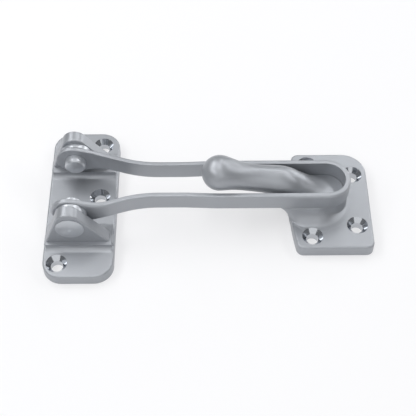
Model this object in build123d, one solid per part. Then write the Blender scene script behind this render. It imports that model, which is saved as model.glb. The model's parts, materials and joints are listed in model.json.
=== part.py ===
from build123d import *
import os

# All sizes are in millimetres. The origin is the centre of the hinge plate's
# back face. +X runs to the strike plate, +Y to the far lug, +Z off the door.

# Edge rounding shared by both plates
edge_round = 1.0

# Countersunk screw holes, for a number twelve screw
screw_hole_radius = 3.05
countersink_radius = 5.3
countersink_angle = 82.0

# Hinge plate
hinge_width = 35.0
hinge_length = 92.0
hinge_thickness = 5.9
hinge_corner = 9.7
hinge_holes = [(-10.4, -37.8), (8.8, 2.8), (8.8, 37.2)]

# The two lugs, a triangle with a rounded apex seen along Y
lug_inner_face = 20.5
lug_thickness = 6.4
lug_apex_x = -5.7
lug_apex_z = 36.8
lug_apex_radius = 6.3
lug_edge_round = 0.7

# The raised foot that each lug stands on, hollowed down to the plate
foot_height = 2.9
foot_outer_ledge = 2.0
foot_inner_ledge = 3.6
foot_end_gap = 1.2

# Pivot pins
pivot_x = -3.2
pivot_z = 20.0
pin_radius = 5.2
pin_lug_gap = 0.02
pin_running_gap = 0.05
pin_tail = 4.8
pin_tail_chamfer = 0.7
pin_dome = 0.7
pin_head_radius = 7.0
pin_head_rim = 0.4

# Washers between the lugs and the eyes of the bar
washer_radius = 7.9
washer_bore_gap = 0.15
washer_side_gap = 0.1

# The guard bar: a strip bent to a long loop, with an eye on each leg
bar_thickness = 2.7
bar_height = 9.8
bar_middle_z = 19.7
eye_outer_face = 17.9
eye_centre = (-4.6, 20.4)
eye_radius = 8.4
eye_taper_end_x = 11.2
eye_taper_blend = 30.0
joggle_start_x = 9.3
joggle_end_x = 30.3
joggle_start_radius = 36.0
joggle_end_radius = 60.0
slot_half_start = 8.5
slot_half_end = 9.2
slot_flare_start_x = 53.0
slot_flare_end_x = 69.0
slot_blend = 60.0
loop_centre_x = 124.0
bar_outer_round = 1.1
bar_inner_round = 0.4

# Strike plate
strike_left_x = 109.2
strike_width = 38.2
strike_length = 60.2
strike_thickness = 6.5
strike_corner = 3.8
strike_far_right_corner = 12.5
strike_left_bulge = 3.1
strike_left_hole = (116.7, 22.8)
strike_right_hole = (139.7, 16.2)

# The boss under the horn, which carries the loop of the bar. Its front, back
# and right sides flare out to the plate; its left side leans out in an arc.
boss_top_gap = 0.3
boss_left_foot_x = 106.0
boss_left_arc = 17.0
boss_right_x = 130.0
boss_half_width = 11.2
boss_left_corner = 4.0
boss_right_corner = 10.5
boss_reach = 7.5
boss_foot_reach = 9.5
boss_top_levels = [1, 0.99, 0.965, 0.93, 0.88]
boss_flare_levels = [0.8, 0.68, 0.54, 0.4, 0.28, 0.18, 0.1, 0.04, 0.01]
boss_plate_levels = [0.96, 0.82, 0.6, 0.4, 0.2, 0]
boss_top_round = 1.5

# The horn: a ball on a curved arm. Each station of the arm is its centre in
# X and Z, its dip below level, its half width along Y and its half depth.
ball_centre = (70.2, 29.1)
ball_radius = 8.9
arm_dip_at_ball = 11.0
arm_stations = [
    (73.4, 28.5, 11.5, 8.45, 8.45),
    (77.2, 27.5, 13.0, 7.65, 7.6),
    (82.6, 26.0, 14.0, 7.0, 6.9),
    (89.0, 24.7, 10.0, 6.9, 6.8),
    (96.3, 23.5, 12.0, 7.4, 7.2),
    (102.9, 21.2, 29.0, 8.05, 8.0),
    (107.7, 17.3, 47.0, 8.5, 8.1),
    (112.6, 12.2, 56.8, 8.8, 8.7),
    (116.0, 9.4, 62.9, 9.3, 9.9),
    (120.2, 7.3, 66.5, 9.8, 11.2),
]


def plate(outline, thickness):
    """A flat plate with a rounded upper rim."""
    body = extrude(outline, thickness)
    rim = body.faces().sort_by(Axis.Z)[-1].edges()
    return fillet(rim, edge_round)


def screw_hole(x, y, thickness):
    """A countersunk through hole, opening upwards."""
    hole = CounterSinkHole(
        screw_hole_radius, countersink_radius, thickness, countersink_angle
    )
    return Pos(x, y, thickness) * hole


def lug():
    """One lug on the +Y side."""
    left = -hinge_width / 2
    outline = Polyline(
        (left, hinge_thickness - 1),
        (left, hinge_thickness),
        (lug_apex_x, lug_apex_z),
        (-left, hinge_thickness),
        (-left, hinge_thickness - 1),
        close=True,
    )
    face = make_face(outline)
    apex = face.vertices().sort_by(Axis.Y)[-1]
    face = fillet(apex, lug_apex_radius)
    body = extrude(Plane.XZ * face, -lug_thickness)
    sharp = body.edges().filter_by(Axis.Y, reverse=True)
    sharp = sharp.filter_by(lambda edge: edge.center().Z > hinge_thickness + 0.1)
    return Pos(0, lug_inner_face, 0) * fillet(sharp, lug_edge_round)


def lug_foot():
    """The raised foot under one lug, on the +Y side."""
    low = lug_inner_face - foot_inner_ledge
    high = lug_inner_face + lug_thickness + foot_outer_ledge
    base = hinge_thickness
    top = base + foot_height
    profile = Line((low, top), (high, top))
    profile += RadiusArc((high, top), (high + foot_height, base), -foot_height)
    profile += Polyline(
        (high + foot_height, base),
        (high + foot_height, base - 1),
        (low - foot_height, base - 1),
        (low - foot_height, base),
    )
    profile += RadiusArc((low - foot_height, base), (low, top), -foot_height)
    half_length = hinge_width / 2 - foot_end_gap
    return extrude(Plane.YZ * make_face(profile), half_length, both=True)


def pin_bore(radius, low, high):
    """A round body about the pivot axis, between two distances along Y."""
    bar = Cylinder(radius, high - low, rotation=(90, 0, 0))
    return Pos(pivot_x, (low + high) / 2, pivot_z) * bar


def both_sides(shape):
    """A shape together with its mirror image across the plane Y = 0."""
    return shape + mirror(shape, Plane.XZ)


def hinge_plate():
    outline = RectangleRounded(hinge_width, hinge_length, hinge_corner)
    body = plate(outline, hinge_thickness)
    lug_outer_face = lug_inner_face + lug_thickness
    bore = pin_bore(pin_radius + pin_lug_gap, lug_inner_face - 1, lug_outer_face + 1)
    body += both_sides(lug() + lug_foot())
    body -= both_sides(bore)
    for x, y in hinge_holes:
        body -= screw_hole(x, y, hinge_thickness)
    return body


def pivot_pin():
    """One pin on the +Y side: tail, shank and low outer head."""
    tail_end = eye_outer_face - bar_thickness - pin_tail
    shoulder = lug_inner_face + lug_thickness
    rim = shoulder + pin_head_rim
    tail_radius = pin_radius - pin_tail_chamfer
    tail_rim = tail_end + pin_dome
    profile = ThreePointArc(
        (-tail_radius, tail_rim), (0, tail_end), (tail_radius, tail_rim)
    )
    profile += Polyline(
        (tail_radius, tail_rim),
        (pin_radius, tail_rim + pin_tail_chamfer),
        (pin_radius, shoulder),
        (pin_head_radius, shoulder),
        (pin_head_radius, rim),
    )
    profile += ThreePointArc(
        (pin_head_radius, rim), (0, rim + pin_dome), (-pin_head_radius, rim)
    )
    profile += Polyline(
        (-pin_head_radius, rim),
        (-pin_head_radius, shoulder),
        (-pin_radius, shoulder),
        (-pin_radius, tail_rim + pin_tail_chamfer),
        (-tail_radius, tail_rim),
    )
    section = make_face(profile) & Pos(pin_head_radius, 0) * Rectangle(
        2 * pin_head_radius, 4 * hinge_width
    )
    return Pos(pivot_x, 0, pivot_z) * revolve(section, Axis.Y)


def washer():
    """One washer on the +Y side."""
    low = eye_outer_face + washer_side_gap
    high = lug_inner_face - washer_side_gap
    disc = pin_bore(washer_radius, low, high)
    return disc - pin_bore(pin_radius + washer_bore_gap, low - 1, high + 1)


def bar_side_view():
    """The bar seen along Y: a level strip that tapers out to the round eye."""
    low = bar_middle_z - bar_height / 2
    high = bar_middle_z + bar_height / 2
    eye = Pos(*eye_centre) * Circle(eye_radius)
    neck = Line((eye_taper_end_x, low), (eye_taper_end_x, high))
    end_x = loop_centre_x + slot_half_end + bar_thickness + 1
    length = end_x - eye_taper_end_x
    strip = Pos(end_x - length / 2, bar_middle_z) * Rectangle(length, bar_height)
    outline = make_hull(eye.edges() + neck.edges()) + strip
    corners = outline.vertices().filter_by(
        lambda corner: abs(corner.X - eye_taper_end_x) < 0.01
    )
    return fillet(corners, eye_taper_blend)


def guard_bar():
    """The bent strip with its two eyes, bored for the pins."""
    eye_inner_face = eye_outer_face - bar_thickness
    start_x = eye_centre[0] - eye_radius - 1
    leg = FilletPolyline(
        (start_x, eye_inner_face),
        (joggle_start_x, eye_inner_face),
        (joggle_end_x, slot_half_start),
        (slot_flare_start_x, slot_half_start),
        (slot_flare_end_x, slot_half_end),
        (loop_centre_x, slot_half_end),
        radius=(joggle_start_radius, joggle_end_radius, slot_blend, slot_blend),
    )
    loop = ThreePointArc(
        (loop_centre_x, slot_half_end),
        (loop_centre_x + slot_half_end, 0),
        (loop_centre_x, -slot_half_end),
    )
    inner = Wire(leg.edges() + loop.edges() + mirror(leg, Plane.XZ).edges())
    strip = inner.offset_2d(bar_thickness, side=Side.LEFT, closed=True)
    outer = inner.offset_2d(bar_thickness, side=Side.LEFT, closed=False)
    tall = extrude(make_face(strip), 2 * pivot_z)
    side = extrude(Plane.XZ * bar_side_view(), eye_outer_face + 1, both=True)
    body = tall & side
    body = fillet(rim_edges(body, outer), bar_outer_round)
    body = fillet(rim_edges(body, inner), bar_inner_round)
    return body - both_sides(
        pin_bore(pin_radius + pin_running_gap, eye_inner_face - 1, eye_outer_face + 1)
    )


def rim_edges(body, path):
    """The edges of a body that lie above or below a plan path."""
    found = ShapeList()
    for edge in body.edges().filter_by(Axis.Z, reverse=True):
        middle = edge @ 0.5
        if path.distance_to(Vector(middle.X, middle.Y, 0)) < 0.01:
            found.append(edge)
    return found


def horn():
    """The ball and its curved arm, down into the strike plate."""
    x, z = ball_centre
    stations = [(x, z, arm_dip_at_ball, ball_radius, ball_radius)] + arm_stations
    sections = []
    for x, z, dip, half_width, half_depth in stations:
        facing = Vector(1, 0, 0).rotate(Axis.Y, dip)
        across = Plane((x, 0, z), x_dir=(0, 1, 0), z_dir=facing)
        sections.append(across * Ellipse(half_width, half_depth))
    arm = loft(sections)
    x, z = ball_centre
    facing = Vector(1, 0, 0).rotate(Axis.Y, arm_dip_at_ball)
    cut = Plane((x, 0, z), x_dir=(0, 1, 0), z_dir=facing)
    ball = split(Pos(x, 0, z) * Sphere(ball_radius), cut, keep=Keep.BOTTOM)
    return arm + ball


def boss_outline(z, spread):
    """The boss seen from above, cut at a height and spread out by the flare."""
    left = boss_left_foot_x - boss_left_arc
    left += (boss_left_arc**2 - z**2) ** 0.5
    right = boss_right_x + spread
    width = 2 * (boss_half_width + spread)
    face = Pos((left + right) / 2, 0) * Rectangle(right - left, width)
    face = fillet(face.vertices().group_by(Axis.X)[0], boss_left_corner + spread)
    face = fillet(face.vertices().group_by(Axis.X)[-1], boss_right_corner + spread)
    return Pos(0, 0, z) * face


def boss():
    """The flared boss from the back of the plate to the bar's underside."""
    total = bar_middle_z - bar_height / 2 - boss_top_gap - strike_thickness
    sections = []
    for level in boss_top_levels + boss_flare_levels:
        spread = boss_reach * (1 - (1 - (1 - level) ** 2) ** 0.5)
        rise = max(0, boss_top_round - (1 - level) * total)
        spread -= boss_top_round - (boss_top_round**2 - rise**2) ** 0.5
        sections.append(boss_outline(strike_thickness + level * total, spread))
    for level in boss_plate_levels:
        sections.append(boss_outline(level * strike_thickness, boss_foot_reach))
    return loft(sections[::-1])


def strike_outline():
    """The strike plate seen from above, bowed out under the horn."""
    half = strike_length / 2
    right = strike_left_x + strike_width
    outline = ThreePointArc(
        (strike_left_x, half),
        (strike_left_x - strike_left_bulge, 0),
        (strike_left_x, -half),
    )
    outline += Polyline(
        (strike_left_x, -half), (right, -half), (right, half), (strike_left_x, half)
    )
    face = make_face(outline)
    corners = face.vertices().sort_by(lambda corner: corner.X + corner.Y)
    face = fillet(corners[-1], strike_far_right_corner)
    corners = face.vertices().filter_by(
        lambda corner: corner.X < strike_left_x + 1 or corner.Y < 1 - half
    )
    return fillet(corners, strike_corner)


def strike_plate():
    """Plate, boss and horn in one casting."""
    body = plate(strike_outline(), strike_thickness)
    body += boss()
    body += horn()
    for x, y in (strike_left_hole, strike_right_hole):
        body -= screw_hole(x, y, strike_thickness)
        body -= screw_hole(x, -y, strike_thickness)
    return body


if __name__ == "__main__":
    pin = pivot_pin()
    spacer = washer()
    pieces = {
        "hinge_plate": hinge_plate(),
        "near_pin": mirror(pin, Plane.XZ),
        "far_pin": pin,
        "near_washer": mirror(spacer, Plane.XZ),
        "far_washer": spacer,
        "guard_bar": guard_bar(),
        "strike_plate": strike_plate(),
    }
    os.makedirs("parts", exist_ok=True)
    for name, piece in pieces.items():
        export_step(piece, f"parts/{name}.step")
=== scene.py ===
"""Door guard in satin chrome: its finishes, root fillet, studio and camera."""

import json
import logging
import math
from dataclasses import dataclass, field
from enum import Enum

import bmesh
import bpy
import numpy as np
from mathutils import Euler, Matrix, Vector

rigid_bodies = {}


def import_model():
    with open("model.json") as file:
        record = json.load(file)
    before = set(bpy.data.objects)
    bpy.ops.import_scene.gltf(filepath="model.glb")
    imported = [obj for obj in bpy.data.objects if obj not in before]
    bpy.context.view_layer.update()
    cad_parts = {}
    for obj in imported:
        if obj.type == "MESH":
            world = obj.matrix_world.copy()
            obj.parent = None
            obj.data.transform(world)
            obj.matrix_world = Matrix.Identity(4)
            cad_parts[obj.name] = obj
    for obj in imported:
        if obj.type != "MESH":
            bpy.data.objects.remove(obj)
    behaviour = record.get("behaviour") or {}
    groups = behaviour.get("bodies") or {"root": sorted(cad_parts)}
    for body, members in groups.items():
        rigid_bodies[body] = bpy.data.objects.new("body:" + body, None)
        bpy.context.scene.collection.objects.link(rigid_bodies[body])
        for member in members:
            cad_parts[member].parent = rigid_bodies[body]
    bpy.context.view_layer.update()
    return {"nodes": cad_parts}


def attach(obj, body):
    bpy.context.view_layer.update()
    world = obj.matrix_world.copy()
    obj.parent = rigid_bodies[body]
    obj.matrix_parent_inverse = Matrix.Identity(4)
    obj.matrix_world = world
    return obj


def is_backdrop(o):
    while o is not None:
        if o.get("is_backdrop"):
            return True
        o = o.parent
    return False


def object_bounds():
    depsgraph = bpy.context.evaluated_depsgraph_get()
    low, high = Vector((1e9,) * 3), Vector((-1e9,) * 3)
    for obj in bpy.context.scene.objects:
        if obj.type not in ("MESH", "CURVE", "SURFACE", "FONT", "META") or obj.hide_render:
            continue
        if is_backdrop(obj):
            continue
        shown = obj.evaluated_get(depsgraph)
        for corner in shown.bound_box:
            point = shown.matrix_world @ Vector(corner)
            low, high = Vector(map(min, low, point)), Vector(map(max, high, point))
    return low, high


LOG = logging.getLogger("door_guard")
MM = 0.001
MIX_FIRST_COLOUR = 6
MIX_SECOND_COLOUR = 7
MIX_COLOUR_RESULT = 2


class Axis(Enum):
    """An axis of the object, along which grain runs or grid lines follow."""

    X = 0
    Y = 1


class Wire:
    """A shader socket that can be used in Python arithmetic."""

    def __init__(self, graph: "Graph", socket: bpy.types.NodeSocket) -> None:
        """Keeps the graph and the socket.

        Args:
            graph: The material's node graph that the socket belongs to.
            socket: The output socket that carries the value.
        """
        self.graph = graph
        self.socket = socket

    def _math(self, operation: str, *values: "Wire | float") -> "Wire":
        """One Math node on these values."""
        return self.graph.math(operation, *values)

    def __add__(self, other: "Wire | float") -> "Wire":
        """Sum."""
        return self._math("ADD", self, other)

    def __radd__(self, other: float) -> "Wire":
        """Sum with a number on the left."""
        return self._math("ADD", other, self)

    def __sub__(self, other: "Wire | float") -> "Wire":
        """Difference."""
        return self._math("SUBTRACT", self, other)

    def __rsub__(self, other: float) -> "Wire":
        """Difference from a number on the left."""
        return self._math("SUBTRACT", other, self)

    def __mul__(self, other: "Wire | float") -> "Wire":
        """Product."""
        return self._math("MULTIPLY", self, other)

    def __rmul__(self, other: float) -> "Wire":
        """Product with a number on the left."""
        return self._math("MULTIPLY", other, self)

    def __pow__(self, other: float) -> "Wire":
        """Power."""
        return self._math("POWER", self, other)

    def lower(self, other: "Wire | float") -> "Wire":
        """The smaller of two values."""
        return self._math("MINIMUM", self, other)

    def ramp(self, start: float, end: float) -> "Wire":
        """A smooth step from 0 at start to 1 at end.

        Args:
            start: The value at which the step leaves 0.
            end: The value at which the step reaches 1.

        Returns:
            The step, clamped to 0 and 1.
        """
        settings = {"interpolation_type": "SMOOTHSTEP"}
        inputs = {"Value": self, "From Min": start, "From Max": end}
        return self.graph.node("ShaderNodeMapRange", settings, inputs, "Result")


class Graph:
    """The node graph of one new material."""

    def __init__(self, name: str) -> None:
        """Makes the material, with an empty graph.

        Args:
            name: The name of the material.
        """
        self.material = bpy.data.materials.new(name)
        self.material.use_nodes = True
        self.tree = self.material.node_tree
        self.tree.nodes.clear()

    def node(
        self,
        kind: str,
        settings: dict[str, object],
        inputs: dict[str | int, object],
        output: str | int = 0,
    ) -> Wire | None:
        """Adds one node of any type.

        Args:
            kind: The node's type name.
            settings: Properties that are set before the inputs.
            inputs: Values, or wires to link, by socket name or index.
            output: The output socket to return, by name or index.

        Returns:
            The wanted output socket as a wire, or None if the node has none.
        """
        made = self.tree.nodes.new(kind)
        for key, value in settings.items():
            setattr(made, key, value)
        for key, value in inputs.items():
            if isinstance(value, Wire):
                self.tree.links.new(value.socket, made.inputs[key])
            else:
                made.inputs[key].default_value = value
        return Wire(self, made.outputs[output]) if len(made.outputs) else None

    def math(self, operation: str, *values: Wire | float) -> Wire:
        """One Math node.

        Args:
            operation: The operation's name.
            values: Its operands in order.

        Returns:
            The result.
        """
        settings = {"operation": operation}
        return self.node("ShaderNodeMath", settings, dict(enumerate(values)))

    def place(self) -> Wire:
        """The shaded point in the object's own coordinates."""
        return self.node("ShaderNodeTexCoord", {}, {}, "Object")

    def parts(self) -> tuple[Wire, Wire, Wire]:
        """Splits the shaded point's place.

        Returns:
            X, Y and Z in metres.
        """
        inputs = {"Vector": self.place()}
        split = self.node("ShaderNodeSeparateXYZ", {}, inputs)
        outputs = split.socket.node.outputs
        return tuple(Wire(self, outputs[name]) for name in "XYZ")

    def noise(self, grain: float, detail: float, stretch: Vector) -> Wire:
        """Noise with a given grain size.

        Args:
            grain: The size of one grain in metres.
            detail: The number of finer octaves.
            stretch: How many times longer the grains are along X, Y and Z.

        Returns:
            The noise value, about 0.5 on average.
        """
        scale = [1 / (grain * times) for times in stretch]
        mapped = self.node(
            "ShaderNodeMapping", {}, {"Vector": self.place(), "Scale": scale}
        )
        inputs = {"Vector": mapped, "Scale": 1.0, "Detail": detail}
        return self.node("ShaderNodeTexNoise", {}, inputs, "Fac")

    def blend(
        self, share: Wire, first: Wire | Vector, second: Wire | Vector
    ) -> Wire:
        """Mixes two colours, each a wire or a fixed colour.

        Args:
            share: The share of the second colour, 0 to 1.
            first: The colour at share 0.
            second: The colour at share 1.

        Returns:
            The mixed colour.
        """
        inputs = {0: share}
        for index, colour in ((MIX_FIRST_COLOUR, first), (MIX_SECOND_COLOUR, second)):
            inputs[index] = colour if isinstance(colour, Wire) else (*colour, 1.0)
        settings = {"data_type": "RGBA"}
        return self.node("ShaderNodeMix", settings, inputs, MIX_COLOUR_RESULT)

    def finish(self, shader: Wire) -> bpy.types.Material:
        """Links the surface shader.

        Args:
            shader: The shader of the whole surface.

        Returns:
            The finished material.
        """
        self.node("ShaderNodeOutputMaterial", {}, {"Surface": shader})
        return self.material


@dataclass(frozen=True)
class SatinChrome:
    """Satin chrome plating on metal.

    Attributes:
        name: The material's name.
        tone: The mean reflected colour.
        roughness: The mean roughness of the plating.
        metallic: The share of bare metal reflection, 0 to 1.
        cloudiness: How far the tone drifts over the piece, as a share.
        cloud_size: The size of one cloud in the tone, in metres.
        cloud_detail: The number of finer octaves in the clouds.
        cloud_sheen: How far the roughness drifts with the clouds.
        grain_size: The width of one satin grain, in metres.
        grain_detail: The number of finer octaves in the grain.
        grain_sheen: How far the roughness drifts with the grain.
        grain_depth: The depth of the fine satin grain, in metres.
        bump_strength: The strength of the surface marks, 0 to 1.
        run: The axis that the satin grain runs along.
        run_stretch: How many times longer than wide one grain is.
    """

    name: str
    tone: tuple[float, float, float] = (0.36, 0.375, 0.40)
    roughness: float = 0.42
    metallic: float = 0.62
    cloudiness: float = 0.06
    cloud_size: float = 14 * MM
    cloud_detail: float = 2.0
    cloud_sheen: float = 0.08
    grain_size: float = 0.35 * MM
    grain_detail: float = 3.0
    grain_sheen: float = 0.05
    grain_depth: float = 2e-6
    bump_strength: float = 0.6
    run: Axis = Axis.X
    run_stretch: float = 4.0

    def wires(self, graph: Graph) -> tuple[Wire, Wire, Wire]:
        """The changing inputs of the plating.

        Args:
            graph: The graph that the nodes are added to.

        Returns:
            Base colour, roughness and grain height.
        """
        even = Vector((1, 1, 1))
        stretch = even.copy()
        stretch[self.run.value] = self.run_stretch
        clouds = graph.noise(self.cloud_size, self.cloud_detail, even)
        grain = graph.noise(self.grain_size, self.grain_detail, stretch)
        low = Vector(self.tone) * (1 - self.cloudiness)
        high = Vector(self.tone) * (1 + self.cloudiness)
        colour = graph.blend(clouds, low, high)
        drift = (clouds - 0.5) * self.cloud_sheen + (grain - 0.5) * self.grain_sheen
        return colour, drift + self.roughness, grain

    def shade(
        self,
        graph: Graph,
        colour: Wire,
        roughness: Wire,
        height: Wire,
        metallic: Wire | float,
    ) -> bpy.types.Material:
        """Builds the metal shader from its changing inputs.

        Args:
            graph: The graph that the nodes are added to.
            colour: The base colour.
            roughness: The roughness.
            height: The height of the surface marks, 0 to 1.
            metallic: The share of bare metal reflection, 0 to 1.

        Returns:
            The finished material.
        """
        bump = {
            "Strength": self.bump_strength,
            "Distance": self.grain_depth,
            "Height": height,
        }
        normal = graph.node("ShaderNodeBump", {}, bump, "Normal")
        inputs = {
            "Base Color": colour,
            "Metallic": metallic,
            "Roughness": roughness,
            "Normal": normal,
        }
        return graph.finish(graph.node("ShaderNodeBsdfPrincipled", {}, inputs))

    def build(self) -> bpy.types.Material:
        """Builds the plating.

        Returns:
            The plating as a material.
        """
        graph = Graph(self.name)
        return self.shade(graph, *self.wires(graph), self.metallic)


@dataclass(frozen=True)
class DrilledChrome(SatinChrome):
    """Satin chrome with countersinks that were cut smooth and bright.

    Attributes:
        holes: The centres of the screw holes in X and Y, in metres.
        mouth: The radius of a countersink's mouth, in metres.
        mouth_blend: Half the width over which the mouth's edge blends, in metres.
        top: The height of the face that the holes are cut in, in metres.
        first_depth: How far below the face the cut finish begins, in metres.
        full_depth: How far below the face the cut finish is full, in metres.
        cut_roughness: The roughness inside a countersink.
        cut_tone: The reflected colour inside a countersink.
        ring_pitch: The distance between two turning marks, in metres.
    """

    holes: tuple[tuple[float, float], ...] = ()
    mouth: float = 5.3 * MM
    mouth_blend: float = 0.1 * MM
    top: float = 6 * MM
    first_depth: float = 0.02 * MM
    full_depth: float = 0.15 * MM
    cut_roughness: float = 0.14
    cut_tone: tuple[float, float, float] = (0.55, 0.57, 0.60)
    ring_pitch: float = 0.22 * MM

    def build(self) -> bpy.types.Material:
        """Builds the plating with its bright countersinks.

        Returns:
            The plating as a material.
        """
        graph = Graph(self.name)
        colour, roughness, height = self.wires(graph)
        x, y, z = graph.parts()
        distance = None
        for hole_x, hole_y in self.holes:
            east = x - hole_x
            north = y - hole_y
            away = (east * east + north * north) ** 0.5
            distance = away if distance is None else distance.lower(away)
        edge = self.mouth - self.mouth_blend, self.mouth + self.mouth_blend
        inside = 1 - distance.ramp(*edge)
        below = 1 - z.ramp(self.top - self.full_depth, self.top - self.first_depth)
        cut = inside * below
        rings = graph.math("SINE", distance * (2 * math.pi / self.ring_pitch))
        roughness = roughness + cut * (self.cut_roughness - self.roughness)
        colour = graph.blend(cut, colour, self.cut_tone)
        height = height + cut * (rings * 0.5 + 0.5 - height)
        metallic = cut * (1 - self.metallic) + self.metallic
        return self.shade(graph, colour, roughness, height, metallic)


@dataclass(frozen=True)
class PaleCard:
    """The pale matt card that the object lies on.

    Attributes:
        name: The material's name.
        colour: The colour of the card.
        lift: The share of plain white that keeps the card pale in the shade.
    """

    name: str = "pale_card"
    colour: tuple[float, float, float] = (0.91, 0.91, 0.92)
    lift: float = 0.6

    def build(self) -> bpy.types.Material:
        """Builds the card's finish.

        Returns:
            The card as a material.
        """
        graph = Graph(self.name)
        matt = graph.node(
            "ShaderNodeBsdfDiffuse", {}, {"Color": (*self.colour, 1.0)}, "BSDF"
        )
        glow = graph.node(
            "ShaderNodeEmission", {}, {"Color": (*self.colour, 1.0), "Strength": 1.0}
        )
        seen = graph.node("ShaderNodeLightPath", {}, {}, "Is Camera Ray")
        outputs = seen.socket.node.outputs
        glossy = Wire(graph, outputs["Is Glossy Ray"])
        through = Wire(graph, outputs["Is Transmission Ray"])
        share = (seen + glossy + through).lower(1.0) * self.lift
        mixed = graph.node("ShaderNodeMixShader", {}, {0: share, 1: matt, 2: glow})
        return graph.finish(mixed)


def wear(node: bpy.types.Object, material: bpy.types.Material) -> None:
    """Gives a piece one material in all its slots.

    Args:
        node: The CAD node or the added piece.
        material: The material that it gets.
    """
    node.data.materials.clear()
    node.data.materials.append(material)
    LOG.info("%s wears %s", node.name, material.name)


@dataclass
class HingeSide:
    """The hinge plate with its pins and washers.

    Attributes:
        plate: The CAD node of the casting.
        turned: The CAD nodes of the pins and washers.
        holes: The centres of the screw holes in X and Y, in metres.
        top: The height of the face that the holes are cut in, in metres.
        turned_tone: The reflected colour of the pins and washers.
        turned_roughness: The roughness of the pins and washers.
    """

    plate: bpy.types.Object
    turned: list[bpy.types.Object]
    holes: tuple[tuple[float, float], ...] = (
        (-10.4 * MM, -37.8 * MM),
        (8.8 * MM, 2.8 * MM),
        (8.8 * MM, 37.2 * MM),
    )
    top: float = 5.9 * MM
    turned_tone: tuple[float, float, float] = (0.50, 0.52, 0.55)
    turned_roughness: float = 0.30

    def dress(self) -> None:
        """Puts the plating on the casting and on the turned pieces."""
        casting = DrilledChrome("hinge_plating", holes=self.holes, top=self.top)
        wear(self.plate, casting.build())
        bright = SatinChrome(
            "pin_plating",
            tone=self.turned_tone,
            roughness=self.turned_roughness,
            run=Axis.Y,
        ).build()
        for node in self.turned:
            wear(node, bright)


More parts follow.
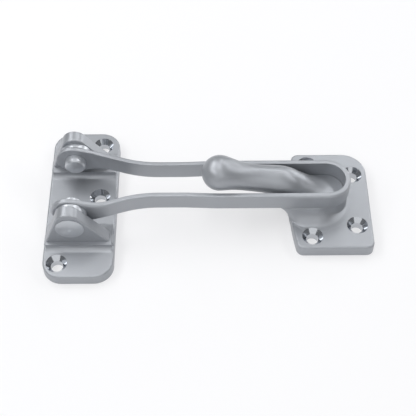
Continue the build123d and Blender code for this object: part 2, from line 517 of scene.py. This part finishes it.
@dataclass
class RootFillet:
    """The cast fillet that leads the horn into its boss, inside the bar's loop.

    The casting is sampled from above on a grid and given a tapered nose.
    Repeated averaging then fills the hollow corners like a film, and the film
    is closed inside the casting.

    Attributes:
        casting: The CAD node that the fillet belongs to.
        low: The grid's lowest X and Y, in metres.
        high: The grid's highest X and Y, in metres.
        step: The distance between two grid lines, in metres.
        rounds: How often the grid is averaged.
        start: The X from which the fillet fades in to the right, in metres.
        start_fade: The length over which it fades in, in metres.
        turn: The X at which the bar's loop starts to turn, in metres.
        slot_half: Half the clear width inside the bar's loop, in metres.
        lip: The width in which it steps down under the bar, in metres.
        slot_fade: The width over which it fades out under the bar, in metres.
        seat: The height that the fillet keeps below the bar, in metres.
        bed: The fillet's least height inside the bar's loop, in metres.
        nose: The X at which the horn's nose starts and ends, in metres.
        nose_half: Half the nose's width at its start, in metres.
        nose_rise: The nose's height over the bed at its start, in metres.
        nose_taper: The powers by which its width and height run out.
        nose_least: The least share of its run that it keeps, so that its width
            never reaches 0.
        softening: How often the finished film is averaged once more.
        sink: How far the fillet's border lies in the casting, in metres.
        root: How far the fillet's underside lies in the casting, in metres.
        clear_height: A height over the whole casting, from which it is probed
            and which the film never reaches, in metres.
        crease: The angle between two faces from which an edge is sharp, in
            degrees.
    """

    casting: bpy.types.Object
    low: tuple[float, float] = (108.6 * MM, -12 * MM)
    high: tuple[float, float] = (136.6 * MM, 12 * MM)
    step: float = 0.4 * MM
    rounds: int = 2500
    start: float = 109 * MM
    start_fade: float = 4 * MM
    turn: float = 124 * MM
    slot_half: float = 9.02 * MM
    lip: float = 0.1 * MM
    slot_fade: float = 2.6 * MM
    seat: float = 14.45 * MM
    bed: float = 15.7 * MM
    nose: tuple[float, float] = (108 * MM, 130 * MM)
    nose_half: float = 8.8 * MM
    nose_rise: float = 12.4 * MM
    nose_taper: tuple[float, float] = (0.33, 1.55)
    nose_least: float = 0.001
    softening: int = 5
    sink: float = 0.03 * MM
    root: float = 0.8 * MM
    clear_height: float = 144.5 * MM
    crease: float = 32.0

    def lines(self, axis: Axis) -> np.ndarray:
        """The places of the grid's lines along X or Y, in metres."""
        low, high = self.low[axis.value], self.high[axis.value]
        return np.linspace(low, high, round((high - low) / self.step) + 1)

    def ground(self) -> np.ndarray:
        """Probes the casting from above.

        Returns:
            The casting's height at each grid point, in metres.
        """
        rows, columns = self.lines(Axis.X), self.lines(Axis.Y)
        heights = np.zeros((rows.size, columns.size))
        down = Vector((0, 0, -1))
        for row, x in enumerate(rows):
            for column, y in enumerate(columns):
                above = Vector((x, y, self.clear_height))
                found, place, _, _ = self.casting.ray_cast(above, down)
                if found:
                    heights[row, column] = place.z
        return heights

    def snapped(self, x: float, y: float) -> tuple[float, float]:
        """Moves a grid point on to the loop's own outline where it is close.

        Args:
            x: The grid point's X, in metres.
            y: The grid point's Y, in metres.

        Returns:
            The point's X and Y, in metres.
        """
        centre = Vector((min(x, self.turn), 0))
        spoke = Vector((x, y)) - centre
        away = spoke.length - self.slot_half
        if abs(away) >= self.step:
            return x, y
        reach = self.slot_half + (self.lip if away > 0 else 0)
        place = centre + spoke.normalized() * reach
        return place.x, place.y

    def horn_nose(self, x: np.ndarray, y: np.ndarray) -> np.ndarray:
        """Shapes the horn's nose, which tapers towards the loop's end.

        Args:
            x: The X of each grid point, in metres.
            y: The Y of each grid point, in metres.

        Returns:
            The nose's height over the bed at each grid point, in metres.
        """
        first, last = self.nose
        run_out = np.clip((last - x) / (last - first), self.nose_least, 1)
        half = self.nose_half * run_out ** self.nose_taper[0]
        rise = self.nose_rise * run_out ** self.nose_taper[1]
        return rise * np.sqrt(np.clip(1 - (y / half) ** 2, 0, 1))

    def averaged(self, level: np.ndarray) -> np.ndarray:
        """Puts each inner point at the average of its four neighbours.

        Args:
            level: The film's height at each grid point, in metres.

        Returns:
            The averaged heights, in metres.
        """
        result = level.copy()
        result[1:-1, 1:-1] = level[2:, 1:-1] + level[:-2, 1:-1]
        result[1:-1, 1:-1] += level[1:-1, 2:] + level[1:-1, :-2]
        result[1:-1, 1:-1] /= 4
        return result

    def fill(self, ground: np.ndarray) -> np.ndarray:
        """Stretches the film over the casting.

        Args:
            ground: The casting's height at each grid point, in metres.

        Returns:
            How high the fillet stands over the casting at each grid point, in
            metres.
        """
        x, y = np.meshgrid(self.lines(Axis.X), self.lines(Axis.Y), indexing="ij")
        away = np.hypot(np.maximum(x - self.turn, 0), y) - self.slot_half
        inside = away < 0
        ceiling = np.maximum(np.where(inside, self.clear_height, self.seat), ground)
        bed = np.maximum(np.where(inside, self.bed, 0), ground)
        nose = np.where(inside, self.bed + self.horn_nose(x, y), 0)
        base = np.maximum(bed, nose)
        level = base
        for _ in range(self.rounds):
            level = np.clip(self.averaged(level), base, ceiling)
        for _ in range(self.softening):
            level = np.clip(self.averaged(level), bed, ceiling)
        share = np.clip(1 - away / self.slot_fade, 0, 1)
        share *= np.clip((x - self.start) / self.start_fade, 0, 1)
        return (level - ground) * share * share * (3 - 2 * share)

    def build(self) -> bpy.types.Object:
        """Builds the fillet as a closed mesh of its own.

        Returns:
            The fillet, riding on the body of the plates.
        """
        ground = self.ground()
        fill = self.fill(ground)
        rows, columns = (size - 1 for size in fill.shape)
        mesh = bmesh.new()
        bmesh.ops.create_grid(mesh, x_segments=rows, y_segments=columns, size=1.0)
        rises = {}
        for vert in mesh.verts:
            row = round((vert.co.x + 1) / 2 * rows)
            column = round((vert.co.y + 1) / 2 * columns)
            rises[vert] = fill[row, column]
            x, y = self.lines(Axis.X)[row], self.lines(Axis.Y)[column]
            vert.co = Vector((*self.snapped(x, y), ground[row, column]))
        bare = [
            face
            for face in mesh.faces
            if all(rises[vert] < self.sink for vert in face.verts)
        ]
        bmesh.ops.delete(mesh, geom=bare, context="FACES")
        below = bmesh.ops.extrude_face_region(mesh, geom=mesh.faces[:])["geom"]
        for vert in below:
            if isinstance(vert, bmesh.types.BMVert):
                vert.co.z -= self.root
        for vert, rise in rises.items():
            if vert.is_valid:
                vert.co.z += rise - self.sink
        bmesh.ops.triangulate(mesh, faces=mesh.faces, quad_method="SHORT_EDGE")
        bmesh.ops.recalc_face_normals(mesh, faces=mesh.faces)
        for face in mesh.faces:
            face.smooth = True
        crease = math.radians(self.crease)
        for edge in mesh.edges:
            edge.smooth = edge.calc_face_angle(0) < crease
        data = bpy.data.meshes.new("root_fillet")
        mesh.to_mesh(data)
        mesh.free()
        fillet = bpy.data.objects.new("root_fillet", data)
        bpy.context.scene.collection.objects.link(fillet)
        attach(fillet, "plates")
        return fillet


@dataclass
class StrikeSide:
    """The strike plate with its horn.

    Attributes:
        plate: The CAD node of the casting.
        holes: The centres of the screw holes in X and Y, in metres.
        top: The height of the face that the holes are cut in, in metres.
    """

    plate: bpy.types.Object
    holes: tuple[tuple[float, float], ...] = (
        (116.7 * MM, 22.8 * MM),
        (116.7 * MM, -22.8 * MM),
        (139.7 * MM, 16.2 * MM),
        (139.7 * MM, -16.2 * MM),
    )
    top: float = 6.5 * MM

    def dress(self) -> None:
        """Puts the plating on the casting and on its root fillet."""
        casting = DrilledChrome("strike_plating", holes=self.holes, top=self.top)
        plating = casting.build()
        wear(self.plate, plating)
        wear(RootFillet(self.plate).build(), plating)


@dataclass
class GuardBar:
    """The looped bar.

    Attributes:
        bar: The CAD node of the bar.
        grain_stretch: How many times longer than wide one grain is.
    """

    bar: bpy.types.Object
    grain_stretch: float = 10.0

    def dress(self) -> None:
        """Puts the plating on the bar, with its grain along the legs."""
        plating = SatinChrome("bar_plating", run_stretch=self.grain_stretch)
        wear(self.bar, plating.build())


@dataclass
class Softbox:
    """One rectangular studio lamp.

    Attributes:
        name: The lamp's name.
        place: Where the lamp hangs, in metres.
        width: Its size along its own X, in metres.
        length: Its size along its own Y, in metres.
        power: Its power in watts.
    """

    name: str
    place: Vector
    width: float
    length: float
    power: float

    def build(self, aim: Vector) -> None:
        """Hangs the lamp, turned towards a point.

        Args:
            aim: The point that the lamp faces, in metres.
        """
        data = bpy.data.lights.new(self.name, "AREA")
        data.shape = "RECTANGLE"
        data.size = self.width
        data.size_y = self.length
        data.energy = self.power
        lamp = bpy.data.objects.new(self.name, data)
        lamp.location = self.place
        lamp.rotation_euler = (aim - self.place).to_track_quat("-Z", "Y").to_euler()
        bpy.context.scene.collection.objects.link(lamp)


@dataclass
class Studio:
    """The floor, the lamps, the sky and the camera.

    Attributes:
        centre: The middle of the object on the floor, in metres.
        floor_half: Half the side of the card, in metres.
        floor_cells: The number of cells along a side of the card.
        sky: The colour of the light from all round.
        sky_strength: Its strength.
        camera_place: Where the camera stands, in metres.
        camera_down: How far the camera looks down, in degrees.
        camera_turn: How far the camera looks to the right, in degrees.
        camera_lens: The focal length, in millimetres.
        sensor_width: The width of the camera's sensor, in millimetres.
        clip_start: The nearest distance that the camera sees, in metres.
    """

    centre: Vector
    floor_half: float = 1.5
    floor_cells: int = 8
    sky: tuple[float, float, float] = (0.80, 0.82, 0.85)
    sky_strength: float = 0.24
    camera_place: Vector = field(
        default_factory=lambda: Vector((62.174, -305.025, 413.995)) * MM
    )
    camera_down: float = 53.634
    camera_turn: float = 0.424
    camera_lens: float = 85.70
    sensor_width: float = 36.0
    clip_start: float = 0.01

    def floor(self) -> None:
        """Lays the pale card under the object."""
        mesh = bmesh.new()
        cells = self.floor_cells
        half = self.floor_half
        bmesh.ops.create_grid(mesh, x_segments=cells, y_segments=cells, size=half)
        bmesh.ops.translate(mesh, verts=mesh.verts, vec=self.centre)
        data = bpy.data.meshes.new("card")
        mesh.to_mesh(data)
        mesh.free()
        card = bpy.data.objects.new("card", data)
        card.data.materials.append(PaleCard().build())
        bpy.context.scene.collection.objects.link(card)
        card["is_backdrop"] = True

    def lamps(self) -> None:
        """Hangs the softboxes and lights the sky."""
        lamps = (
            Softbox("left_strip", Vector((-0.48, 0.12, 0.65)), 1.4, 0.20, 4.4),
            Softbox("right_strip", Vector((0.565, 0.35, 0.66)), 1.4, 0.15, 3.2),
            Softbox("top_box", Vector((0.04, 0.00, 0.95)), 0.5, 0.25, 1.7),
            Softbox("rim_box", Vector((0.72, 0.62, 0.17)), 0.5, 0.3, 1.5),
            Softbox("front_box", Vector((0.00, -0.50, 0.72)), 0.9, 0.4, 1.2),
            Softbox("apron_box", Vector((0.05, -0.72, 0.36)), 1.2, 0.45, 1.3),
            Softbox("back_box", Vector((-0.10, 0.45, 0.95)), 0.8, 0.30, 1.3),
        )
        for lamp in lamps:
            lamp.build(self.centre)
        world = bpy.data.worlds.new("sky")
        world.use_nodes = True
        background = world.node_tree.nodes["Background"]
        background.inputs["Color"].default_value = (*self.sky, 1.0)
        background.inputs["Strength"].default_value = self.sky_strength
        bpy.context.scene.world = world

    def camera(self) -> None:
        """Sets the camera at the photograph's viewing angle."""
        data = bpy.data.cameras.new("camera")
        data.lens = self.camera_lens
        data.sensor_width = self.sensor_width
        data.clip_start = self.clip_start
        camera = bpy.data.objects.new("camera", data)
        camera.location = self.camera_place
        tilt = math.radians(90 - self.camera_down)
        camera.rotation_euler = Euler((tilt, 0, -math.radians(self.camera_turn)))
        bpy.context.scene.collection.objects.link(camera)
        bpy.context.scene.camera = camera

    def build(self) -> None:
        """Sets up the whole studio."""
        self.floor()
        self.lamps()
        self.camera()
        bpy.context.scene.view_settings.view_transform = "Standard"


def clear_scene() -> None:
    """Removes the objects of Blender's start-up file."""
    for start_object in list(bpy.data.objects):
        bpy.data.objects.remove(start_object)


def main() -> None:
    """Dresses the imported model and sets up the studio."""
    clear_scene()
    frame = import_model()
    nodes = frame["nodes"]
    turned = ["near_pin", "far_pin", "near_washer", "far_washer"]
    HingeSide(nodes["hinge_plate"], [nodes[name] for name in turned]).dress()
    StrikeSide(nodes["strike_plate"]).dress()
    GuardBar(nodes["guard_bar"]).dress()
    low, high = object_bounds()
    middle = (low + high) / 2
    Studio(Vector((middle.x, middle.y, 0))).build()


if __name__ == "__main__":
    logging.basicConfig(level=logging.INFO)
    main()
